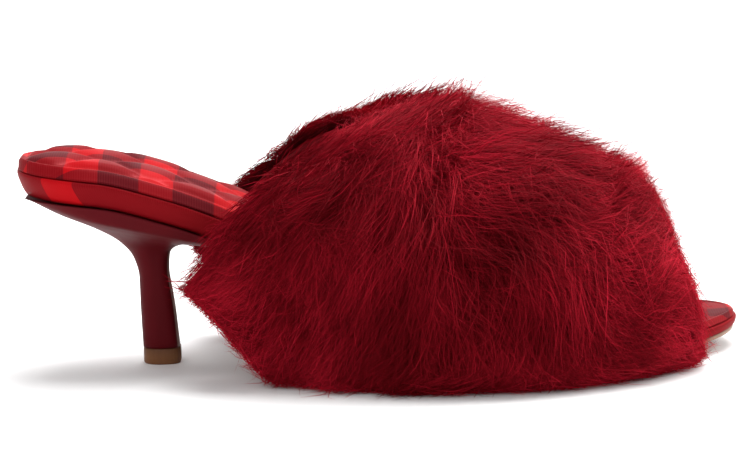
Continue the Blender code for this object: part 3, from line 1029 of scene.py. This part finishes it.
# %% [markdown]
# ## Wool
#
# The wool is what the eye sees first. On a real skin every fibre grows from the hide, leans with
# its neighbours and ends in a loose tip. Here an inner coat keeps light from passing through, and
# many thin tapered ribbons root on it. Each ribbon walks over the wool's own form along a flow that
# follows guides set along the band, so the streaks run as they do on the real one.

# %% Wool form
FLOOR_LIFT = 0.0004


def wool_hem(along):
    return np.maximum(HEEL_HEIGHT * HEM(along), FLOOR_CLEARANCE)


def wool_depth(lengthwise, around):
    """Depth of the wool: WOOL_DEPTH times its table, slimmer towards the front of the hem."""
    slim = HEM_SLIM + FRONT_HEM_SLIM * ease(lengthwise / 0.5 - 1)
    slim = 1 - slim * np.minimum(np.abs(around), 1.0) ** 4
    return WOOL_DEPTH * DEPTH(lengthwise) * slim


def wool_back(lengthwise, around):
    """The wool's inner face at any place on the band, with its overhangs."""
    along = band_along(lengthwise, around, REAR_FRINGE, FRONT_FRINGE)
    return foot_point(along, around, wool_hem(along))


def wool_frame(lengthwise, around):
    """Place on the wool's inner face, unit normal and unit directions towards the toe and round
    the band, by small steps either way."""
    step = 0.004
    ahead = wool_back(lengthwise + step, around) - wool_back(lengthwise - step, around)
    round_band = wool_back(lengthwise, around + step) - wool_back(lengthwise, around - step)
    stretch = (
        np.linalg.norm(ahead, axis=-1) / (2 * step),
        np.linalg.norm(round_band, axis=-1) / (2 * step),
    )
    normal = np.cross(ahead, round_band)
    normal = normal / np.maximum(np.linalg.norm(normal, axis=-1, keepdims=True), 1e-12)
    return wool_back(lengthwise, around), normal, ahead, round_band, stretch


def wool_point(lengthwise, around, share):
    """A point at a share of the wool's depth above its inner face."""
    place, normal, *_ = wool_frame(lengthwise, around)
    lift = HIDE_THICKNESS + 2 * GAP + wool_depth(lengthwise, around) * share
    return place + normal * lift[..., None]


# %% Smooth scatter
NOISE_CELLS = 64


def soft_noise(x, y, size, seed):
    """Smooth noise from -1 to 1: random values on a square lattice of that size, eased between."""
    table = np.random.default_rng(seed).uniform(-1, 1, (NOISE_CELLS, NOISE_CELLS))
    u, v = x / size, y / size
    i, j = np.floor(u).astype(int), np.floor(v).astype(int)
    s, t = ease(u - i), ease(v - j)
    left, right = i % NOISE_CELLS, (i + 1) % NOISE_CELLS
    low, high = j % NOISE_CELLS, (j + 1) % NOISE_CELLS
    a, b = table[left, low], table[right, low]
    c, d = table[left, high], table[right, high]
    return (a * (1 - s) + b * s) * (1 - t) + (c * (1 - s) + d * s) * t


# %% Flow of the wool
BAND_LENGTH = 0.155
HALF_GIRTH = 0.135
FlowGuide = namedtuple("FlowGuide", "lengthwise around ahead round_band")
FLOW_GUIDES = (
    FlowGuide(0.02, -0.89, -0.26, -0.97),
    FlowGuide(0.07, -0.93, -0.16, -0.99),
    FlowGuide(0.03, -0.75, -0.40, -0.90),
    FlowGuide(0.00, -0.50, -0.99, 0.16),
    FlowGuide(0.00, -0.30, -0.90, 0.40),
    FlowGuide(0.07, -0.36, 0.30, 0.95),
    FlowGuide(0.00, -0.08, -0.95, 0.20),
    FlowGuide(0.12, -0.12, 0.80, 0.50),
    FlowGuide(0.30, -0.10, 1.00, 0.00),
    FlowGuide(0.50, -0.10, 1.00, -0.05),
    FlowGuide(0.75, -0.08, 1.00, 0.00),
    FlowGuide(0.92, -0.10, 1.00, 0.00),
    FlowGuide(0.30, -0.27, 1.00, 0.08),
    FlowGuide(0.47, -0.39, 0.98, -0.18),
    FlowGuide(0.58, -0.38, 0.94, -0.34),
    FlowGuide(0.81, -0.25, 1.00, -0.03),
    FlowGuide(0.83, -0.50, 0.92, -0.40),
    FlowGuide(0.92, -0.59, 0.94, -0.34),
    FlowGuide(0.72, -0.61, 0.83, -0.56),
    FlowGuide(0.81, -0.74, 0.91, -0.42),
    FlowGuide(0.65, -0.75, 0.53, -0.85),
    FlowGuide(0.54, -0.76, 0.24, -0.97),
    FlowGuide(0.50, -0.59, 0.55, -0.84),
    FlowGuide(0.41, -0.76, 0.33, -0.95),
    FlowGuide(0.29, -0.90, 0.24, -0.97),
    FlowGuide(0.16, -0.93, -0.17, -0.99),
    FlowGuide(0.24, -0.51, 0.88, -0.48),
    FlowGuide(0.38, -0.52, 0.76, -0.65),
    FlowGuide(0.18, -0.57, 0.60, -0.80),
    FlowGuide(0.15, -0.72, 0.42, -0.91),
    FlowGuide(0.12, -0.46, 0.99, -0.13),
    FlowGuide(0.22, -0.40, 1.00, 0.04),
    FlowGuide(0.62, -0.52, 0.82, -0.57),
)
GUIDE_REACH = 0.007


def flow_at(lengthwise, around):
    """Which way the wool lies, as a unit step towards the toe and round the band: the guides of
    this side, each weighed by 1 / (distance^2 + reach^2)^2, then bent by soft noise."""
    x, y = lengthwise * BAND_LENGTH, np.abs(around) * HALF_GIRTH
    guides = np.array(FLOW_GUIDES)
    gap_x = x[:, None] - guides[:, 0] * BAND_LENGTH
    gap_y = y[:, None] + guides[:, 1] * HALF_GIRTH
    weight = (gap_x**2 + gap_y**2 + GUIDE_REACH**2) ** -2
    u = weight @ guides[:, 2]
    v = weight @ guides[:, 3] * np.where(around > 0, -1.0, 1.0)
    size = np.maximum(np.hypot(u, v), 1e-6)
    u, v = u / size, v / size
    y = around * HALF_GIRTH
    bend = 0.50 * soft_noise(x + 1, y + 1, 0.024, 1) + 0.35 * soft_noise(x + 1, y + 1, 0.010, 2)
    return u * np.cos(bend) - v * np.sin(bend), u * np.sin(bend) + v * np.cos(bend)


# %% Lumps and hollows
Hollow = namedtuple("Hollow", "lengthwise around radius")
HOLLOWS = (
    Hollow(0.04, -0.76, 0.0046),
    Hollow(0.11, -0.71, 0.0040),
    Hollow(0.13, -0.56, 0.0052),
    Hollow(0.27, -0.54, 0.0034),
    Hollow(0.37, -0.65, 0.0036),
    Hollow(0.51, -0.51, 0.0038),
    Hollow(0.58, -0.69, 0.0036),
    Hollow(0.47, -0.55, 0.0030),
    Hollow(0.24, -0.72, 0.0030),
    Hollow(0.64, -0.69, 0.0030),
    Hollow(0.31, -0.34, 0.0030),
    Hollow(0.30, 0.55, 0.0044),
    Hollow(0.60, 0.62, 0.0040),
    Hollow(0.15, 0.70, 0.0044),
)


def hollow_at(lengthwise, around):
    """1 in the middle of a hollow and 0 away from it: the sum of exp(-(distance / radius)^2)."""
    total = 0 * lengthwise
    for hollow in HOLLOWS:
        x = (lengthwise - hollow.lengthwise) * BAND_LENGTH
        y = (around - hollow.around) * HALF_GIRTH
        total = total + np.exp(-(x * x + y * y) / hollow.radius**2)
    return np.minimum(total, 1.0)


def swell(lengthwise, around):
    """How much of its depth the wool has at a place: lumps of two sizes, less the hollows."""
    x, y = lengthwise * BAND_LENGTH, around * HALF_GIRTH
    lumps = 0.11 * soft_noise(x + 2, y + 2, 0.019, 3) + 0.07 * soft_noise(x + 2, y, 0.009, 4)
    return 1 + lumps - 0.45 * hollow_at(lengthwise, around)


# %% Inner coat
COAT_SHARE = 0.60


def wool_finish(name, dark, mid, light):
    """Red wool: painted shade at the root, brighter towards the tip, and no two locks quite alike."""
    finish = Finish(name, Roughness=0.7, Specular_IOR_Level=0.04)
    tip = finish.attribute("tip")
    tone = finish.attribute("tone")
    # painted shade: the root end is mixed towards the dark colour, standing in for shade deep in the
    # wool
    colour = finish.mix(tip.between(0.0, 0.7) * (0.25 + 0.75 * tone), dark, mid)
    colour = finish.mix(tip.between(0.3, 1.0) * tone * tone, colour, light)
    finish.set(Base_Color=colour, Roughness=0.75 - 0.15 * tone)
    return finish


# painted shade of the wool's depth, used at the roots and in the coat's hollows
WOOL_PAINTED_SHADE = (0.045, 0.0005, 0.0018)
WOOL_MID = (0.32, 0.0030, 0.0105)
WOOL_LIGHT = (0.78, 0.0200, 0.0500)


def make_coat():
    """A closed skin at COAT_SHARE of the wool's depth, rough with small tufts along the flow."""
    rows, columns, inner_columns = 110, 170, 24
    lengthwise = np.linspace(0.01, 0.985, rows)[:, None]
    around = np.linspace(-1, 1, columns)[None, :] + 0 * lengthwise
    lengthwise = lengthwise + 0 * around
    x, y = lengthwise * BAND_LENGTH, around * HALF_GIRTH
    tufts = 0.07 * soft_noise(x + 2, y + 2, 0.006, 5) + 0.05 * soft_noise(x, y + 3, 0.003, 6)
    outside = wool_point(lengthwise, around, COAT_SHARE * swell(lengthwise, around) + tufts)
    pick = np.linspace(columns - 1, 0, inner_columns).round().astype(int)
    inside = wool_point(lengthwise[:, pick], around[:, pick], 0 * tufts[:, pick])
    ring = np.concatenate([outside, inside], axis=1)
    ends = []
    for row in (0, -1):
        partner = np.interp(np.arange(columns), pick[::-1], np.arange(inner_columns)[::-1])
        nearest = np.clip(np.round(partner), 0, inner_columns - 1).astype(int)
        seam = (outside[row] + inside[row][nearest]) / 2
        ends.append(np.concatenate([seam, seam[pick]])[None])
    points = np.concatenate([ends[0], ring, ends[1]])
    points[..., 2] = np.maximum(points[..., 2], FLOOR_CLEARANCE)
    mesh = make_mesh("wool_coat", points, grid_faces(len(points), points.shape[1], wrap=True))
    finish = wool_finish("wool coat", WOOL_PAINTED_SHADE, WOOL_MID, WOOL_MID)
    strands = finish.noise(finish.place(), 900.0, 4.0)
    finish.bump(strands, 0.0006, 0.7)
    # painted shading: the coat is darker in the hollows and on its inner face, and lighter where its
    # tufts rise
    level = 0.40 + tufts - 0.4 * hollow_at(lengthwise, around)
    level = np.concatenate([level, 0 * inside[..., 0] + 0.2], axis=1)
    level = np.concatenate([level[:1], level, level[-1:]])
    add_values(mesh, "tip", level)
    add_values(mesh, "tone", 0.5 + 0 * level)
    return make_piece("wool_coat", mesh, finish.material, "wool", "shearling")


coat = make_coat()

# %% Strands
STRANDS_A_PIECE = 31000
STRAND_PIECES = 5
STEPS = 3
STRAND_LENGTH = 0.024
STRAND_WIDTH = 0.00021
LOCKS = 2600
LOCK_PULL = 0.45
LOCK_SPREAD = 0.0050
TUFTS = 260
TUFT_LIFT = 0.0045
CREST_PLACE = (0.22, -0.02)
CREST_REACH = (0.13, 0.16)
CREST_RISE = 0.45
STEEPEST_SHARE = 0.14
LENGTHWISE_END = 0.98
LENGTHWISE_SOFTNESS = 0.03
AROUND_SOFTNESS = 0.02
REAR_LOCKS = 0.10
BARE_LOCKS = 0.05
LOOSE_STRANDS = 0.13
LOOSE_SPREAD = 0.0010
WAVE_SWING = 0.0011
WAVE_TURN = 4.5


def held(value, low, high, softness):
    """value between low and high, with a soft approach: high - s log(1 + exp((high - value)/s))."""
    value = high - softness * np.logaddexp(0.0, (high - value) / softness)
    return low + softness * np.logaddexp(0.0, (value - low) / softness)


def walk(lengthwise, around, length, rise, ends, turn):
    """Walks strands over the wool in STEPS equal steps: at each one the flow is read anew and
    turned by the strand's own angle, and the height goes up by rise, steeply at first. ends is
    how far inside the wool's own ends a strand stays. Returns points, normals and painted shading."""
    u, v = lengthwise.copy(), around.copy()
    points, normals, shades = [], [], []
    for number in range(STEPS + 1):
        share = number / STEPS
        held_u = held(u, ends, LENGTHWISE_END - np.abs(ends), LENGTHWISE_SOFTNESS)
        held_v = held(v, -1.0, 1.0, AROUND_SOFTNESS)
        height = COAT_SHARE - STEEPEST_SHARE + rise * (1 - (1 - share) ** 2)
        height = height * swell(held_u, held_v)
        place, normal, _, _, stretch = wool_frame(held_u, held_v)
        lift = HIDE_THICKNESS + 2 * GAP + wool_depth(np.clip(held_u, 0, 1), held_v) * height
        crest_u = (held_u - CREST_PLACE[0]) / CREST_REACH[0]
        crest_v = (held_v - CREST_PLACE[1]) / CREST_REACH[1]
        crest = np.exp(-(crest_u**2) - crest_v**2)
        lift = lift + TUFT_LIFT * crest * share * rise / CREST_RISE
        points.append(place + normal * lift[:, None])
        normals.append(normal)
        shades.append(tone_and_painted_shading_at(held_u, held_v))
        step_u, step_v = flow_at(held_u, held_v)
        turned_u = step_u * np.cos(turn) - step_v * np.sin(turn)
        turned_v = step_u * np.sin(turn) + step_v * np.cos(turn)
        u = u + turned_u * length / STEPS / stretch[0]
        v = v + turned_v * length / STEPS / stretch[1]
    return np.stack(points, axis=1), np.stack(normals, axis=1), np.stack(shades, axis=1)


def tone_and_painted_shading_at(lengthwise, around):
    """How bright the wool is at a place, about 0: soft masses of two sizes at random, painted shade
    low on the sides and in the hollows, and painted light towards the toe."""
    x, y = lengthwise * BAND_LENGTH, around * HALF_GIRTH
    masses = 0.22 * soft_noise(x, y, 0.021, 8) + 0.16 * soft_noise(x, y, 0.009, 9)
    # painted shade: darker low on the sides of the band
    painted_side_shade = np.exp(-(((lengthwise - 0.46) / 0.32) ** 2) - ((np.abs(around) - 0.68) / 0.28) ** 2)
    # painted light: brighter towards the toe
    toe = ease((lengthwise - 0.5) / 0.4)
    # painted shade in the hollows, added to the soft masses
    return masses + 0.10 * toe - 0.45 * painted_side_shade - 0.60 * hollow_at(lengthwise, around)


def lock_table(generator):
    """Locks, crowded at the rear edge and where the wool lies open on both sides. Each belongs
    to the nearest of the bigger tufts, which give it a turn, a rise and a brightness in common
    with its neighbours."""
    u = generator.uniform(-0.01, 0.98, LOCKS)
    v = generator.uniform(-1.0, 1.0, LOCKS)
    rear = generator.random(LOCKS) < REAR_LOCKS
    u = np.where(rear, generator.uniform(-0.01, 0.06, LOCKS), u)
    bare = generator.random(LOCKS) < BARE_LOCKS
    u = np.where(bare, generator.normal(0.07, 0.05, LOCKS), u)
    v = np.where(bare, generator.normal(-0.48, 0.07, LOCKS) * generator.choice([-1, 1], LOCKS), v)
    tuft_u, tuft_v = generator.uniform(0, 1, TUFTS), generator.uniform(-1, 1, TUFTS)
    far = np.hypot((u[:, None] - tuft_u) * BAND_LENGTH, (v[:, None] - tuft_v) * HALF_GIRTH)
    tuft = np.argmin(far, axis=1)
    turn = generator.normal(0, 0.30, TUFTS)[tuft] + generator.normal(0, 0.16, LOCKS)
    turn = turn + np.where(bare, generator.uniform(-1.8, 1.8, LOCKS), 0)
    rise = generator.uniform(0.30, 0.52, TUFTS)[tuft] + generator.normal(0, 0.05, LOCKS)
    tone = generator.normal(0, 0.11, TUFTS)[tuft] + generator.normal(0, 0.10, LOCKS)
    length = STRAND_LENGTH * generator.uniform(0.7, 1.3, TUFTS)[tuft]
    length = length * generator.uniform(0.7, 1.2, LOCKS)
    ends = generator.uniform(-0.03, 0.04, LOCKS)
    return u, v, turn, rise, tone, length, ends


def grow(count, generator):
    """Strands gathered in locks: each leans towards its lock's middle strand, waves with it and
    ends a little loose. Returns points, normals and how bright each strand is at each point,
    painted shading included."""
    lock_u, lock_v, lock_turn, lock_rise, lock_tone, lock_length, lock_ends = lock_table(generator)
    middle, _, _ = walk(lock_u, lock_v, lock_length, lock_rise, lock_ends, lock_turn)
    lock = np.sort(generator.integers(0, LOCKS, count))
    u = np.clip(lock_u[lock] + generator.normal(0, LOCK_SPREAD / BAND_LENGTH, count), -0.02, 0.99)
    v = np.clip(lock_v[lock] + generator.normal(0, LOCK_SPREAD / HALF_GIRTH, count), -1.0, 1.0)
    loose = np.where(generator.random(count) < LOOSE_STRANDS, generator.uniform(1.5, 3.2, count), 1.0)
    length = lock_length[lock] * generator.uniform(0.6, 1.15, count) * (0.9 + 0.1 * loose)
    rise = lock_rise[lock] * generator.uniform(0.75, 1.2, count) * (0.8 + 0.2 * loose)
    ends = lock_ends[lock] + generator.uniform(-0.015, 0.015, count)
    turn = lock_turn[lock] + generator.normal(0, 0.16, count) * loose
    own, normals, shade = walk(u, v, length, rise, ends, turn)
    share = np.linspace(0, 1, STEPS + 1)[None, :, None]
    pull = LOCK_PULL * share * (generator.uniform(0.1, 1.3, count) / loose)[:, None, None]
    points = own * (1 - pull) + middle[lock] * pull
    run = np.gradient(points, axis=1)
    aside = np.cross(run, normals)
    aside = aside / np.maximum(np.linalg.norm(aside, axis=-1, keepdims=True), 1e-9)
    phase = generator.uniform(0, 2 * np.pi, LOCKS)[lock] + generator.normal(0, 0.6, count)
    swing = WAVE_SWING * generator.uniform(0.3, 1.4, LOCKS)[lock]
    wave = np.sin(phase[:, None] + WAVE_TURN * share[..., 0]) * swing[:, None] * share[..., 0] ** 0.6
    points = points + aside * wave[..., None]
    adrift = generator.normal(0, LOOSE_SPREAD, (count, 1, 3)) * loose[:, None, None]
    points = points + adrift * share**1.5
    tone = 0.52 + lock_tone[lock] + 0.09 * generator.standard_normal(count)
    # each strand's own tone plus the painted shading from the walk
    return points, normals, np.clip(tone[:, None] + shade, 0.0, 1.0)


def ribbons(points, normals, width, generator):
    """Thin ribbons along rows of points that face outwards: two edges a width apart that meet at
    the tip, as pairs of triangles with one at the end, each rolled a little about its run."""
    count, steps, _ = points.shape
    run = np.gradient(points, axis=1)
    side = np.cross(run, normals + generator.normal(0, 0.45, (count, 1, 3)))
    side = side / np.maximum(np.linalg.norm(side, axis=-1, keepdims=True), 1e-9)
    taper = np.array([0.9, 1.0, 0.65, 0.0])[None, :, None]
    offset = side * taper * width[:, None, None] / 2
    left, right = points - offset, points + offset
    body = np.stack([left[:, :-1], right[:, :-1]], axis=2).reshape(count, -1, 3)
    corners = np.concatenate([body, points[:, -1:]], axis=1)
    each = corners.shape[1]
    triangles = []
    for step in range(steps - 2):
        a, b, c, d = 2 * step, 2 * step + 1, 2 * step + 3, 2 * step + 2
        triangles.extend([(a, b, c), (a, c, d)])
    triangles.append((each - 3, each - 2, each - 1))
    faces = np.array(triangles)[None] + each * np.arange(count)[:, None, None]
    share = np.concatenate([np.repeat(np.arange(steps - 1) / (steps - 1), 2), [1.0]])
    return corners, faces.reshape(-1, 3), share


def make_strands(number, material):
    """One piece of the wool: ribbons with their own tip and tone values and map."""
    generator = np.random.default_rng(100 + number)
    points, normals, tone = grow(STRANDS_A_PIECE, generator)
    width = STRAND_WIDTH * generator.uniform(0.5, 1.5, len(points))
    corners, faces, share = ribbons(points, normals, width, generator)
    corners[..., 2] = np.maximum(corners[..., 2], FLOOR_LIFT)
    name = f"wool_strands_{number}"
    mesh = make_mesh(name, corners, faces)
    tip = np.broadcast_to(share, corners.shape[:2])
    add_values(mesh, "tip", tip)
    # tone carries the painted shading as well as each lock's own tone
    bright = np.concatenate([np.repeat(tone[:, :-1], 2, axis=1), tone[:, -1:]], axis=1)
    add_values(mesh, "tone", bright)
    column = (np.arange(len(points))[:, None] + 0.5) / len(points)
    add_map(mesh, "fibre", column + 0 * tip, tip)
    return make_piece(name, mesh, material, "wool", "shearling")


WOOL = wool_finish("wool", WOOL_PAINTED_SHADE, WOOL_MID, WOOL_LIGHT).material
strands = [make_strands(number, WOOL) for number in range(STRAND_PIECES)]
print("strand triangles:", sum(len(piece.data.polygons) for piece in strands))
